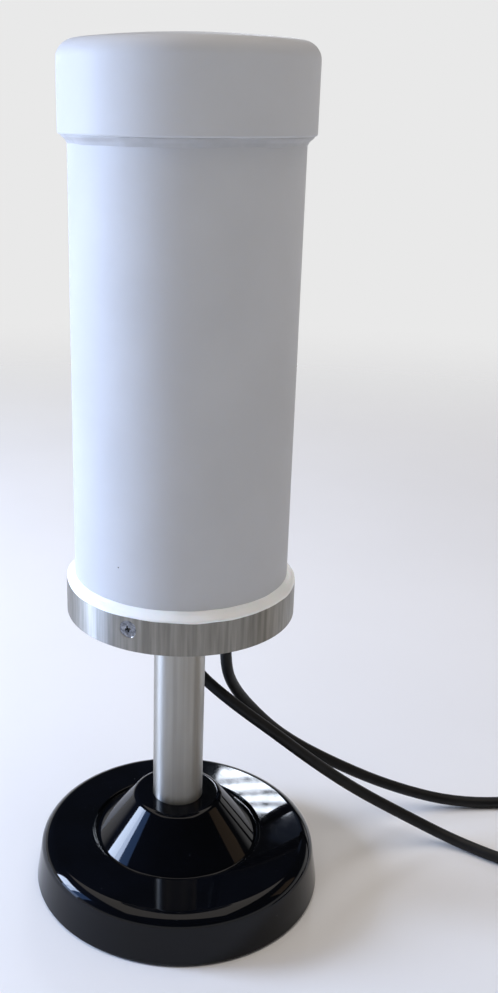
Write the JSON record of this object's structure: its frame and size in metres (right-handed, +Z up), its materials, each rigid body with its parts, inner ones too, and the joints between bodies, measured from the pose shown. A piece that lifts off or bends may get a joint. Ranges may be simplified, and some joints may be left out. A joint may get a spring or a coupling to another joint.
{
  "type": "omnidirectional antenna",
  "caption": "Upright cylindrical radome on a flange and slim mast over a round gloss foot, with coaxial leads that end in screw-coupled plugs.",
  "frame": {"origin": "centre of the foot's underside, on the surface it stands on", "axes": "+Z up along the mast and the radome; +Y away from the side that shows the rim screw; the leads run out towards +X"},
  "size_m": [0.372, 0.1777, 0.405],
  "materials": {
    "radome_white": "satin white paint over glass-fibre plastic",
    "sealant_white": "smooth cured sealant, glossy",
    "turned_aluminium": "turned, satin, fine tool lines",
    "drawn_aluminium": "satin drawn tube",
    "sheet_aluminium": "bare sheet",
    "zinc_steel": "bright zinc-plated steel",
    "piano_black": "high-gloss moulded plastic",
    "plate_steel": "plain plate",
    "ferrite": "sintered ferrite, dull",
    "pad_rubber": "smooth rubber sheet",
    "gland_nylon": "black nylon",
    "seal_rubber": "moulded rubber",
    "jacket_black": "black cable jacket, slightly glossy",
    "nickel_brass": "nickel-plated brass",
    "gold_brass": "gold-plated contact",
    "fluoropolymer": "white insulator",
    "nylon_white": "natural nylon",
    "board_green": "glass-epoxy laminate",
    "copper_trace": "bare copper",
    "brass_bright": "formed brass sheet",
    "foam_grey": "closed-cell foam"
  },
  "bodies": {
    "antenna": {"radome_tube": "radome_white", "radome_cap": "radome_white", "cap_seal_bead": "sealant_white", "flange_seal_bead": "sealant_white", "flange": "turned_aluminium", "mast_tube": "drawn_aluminium", "mast_foot_plug": "drawn_aluminium", "ground_plate": "sheet_aluminium", "flange_screws": "zinc_steel", "mast_grub_screws": "zinc_steel", "mast_bolt": "zinc_steel", "mast_bolt_washer": "zinc_steel", "base_screws": "zinc_steel", "standoff_screws": "zinc_steel", "base_cover": "piano_black", "pole_plate": "plate_steel", "ring_magnet": "ferrite", "base_pad": "pad_rubber", "gland_body_1": "gland_nylon", "gland_nut_1": "gland_nylon", "gland_seal_1": "seal_rubber", "cable_boot_1": "seal_rubber", "connector_gasket_1": "seal_rubber", "heat_shrink_1": "seal_rubber", "feed_lead_1": "jacket_black", "cable_1": "jacket_black", "cable_1_coil": "jacket_black", "cable_1_tail": "jacket_black", "crimp_ferrule_1": "nickel_brass", "connector_body_1": "nickel_brass", "contact_pin_1": "gold_brass", "insulator_1": "fluoropolymer", "gland_body_2": "gland_nylon", "gland_nut_2": "gland_nylon", "gland_seal_2": "seal_rubber", "cable_boot_2": "seal_rubber", "connector_gasket_2": "seal_rubber", "heat_shrink_2": "seal_rubber", "feed_lead_2": "jacket_black", "cable_2": "jacket_black", "cable_2_coil": "jacket_black", "cable_2_tail": "jacket_black", "crimp_ferrule_2": "nickel_brass", "connector_body_2": "nickel_brass", "contact_pin_2": "gold_brass", "insulator_2": "fluoropolymer", "lower_standoffs": "brass_bright", "cone_radiator": "brass_bright", "feed_pin": "brass_bright", "support_columns": "nylon_white", "column_screws": "nylon_white", "feed_bushing": "fluoropolymer", "loop_board": "board_green", "loop_traces": "copper_trace", "foam_disc": "foam_grey"},
    "coupling_nut_1": {"coupling_nut_1": "nickel_brass"},
    "coupling_nut_2": {"coupling_nut_2": "nickel_brass"}
  },
  "joints": [
    {"name": "coupling_nut_1_turn", "type": "hinge", "parent": "antenna", "child": "coupling_nut_1", "pos_m": [0.2765, -0.0497, 0.0105], "axis": [0, -1, 0], "continuous": true},
    {"name": "coupling_nut_2_turn", "type": "hinge", "parent": "antenna", "child": "coupling_nut_2", "pos_m": [0.28583, -0.08887, 0.0105], "axis": [0.7071, -0.7071, 0], "continuous": true}
  ]
}
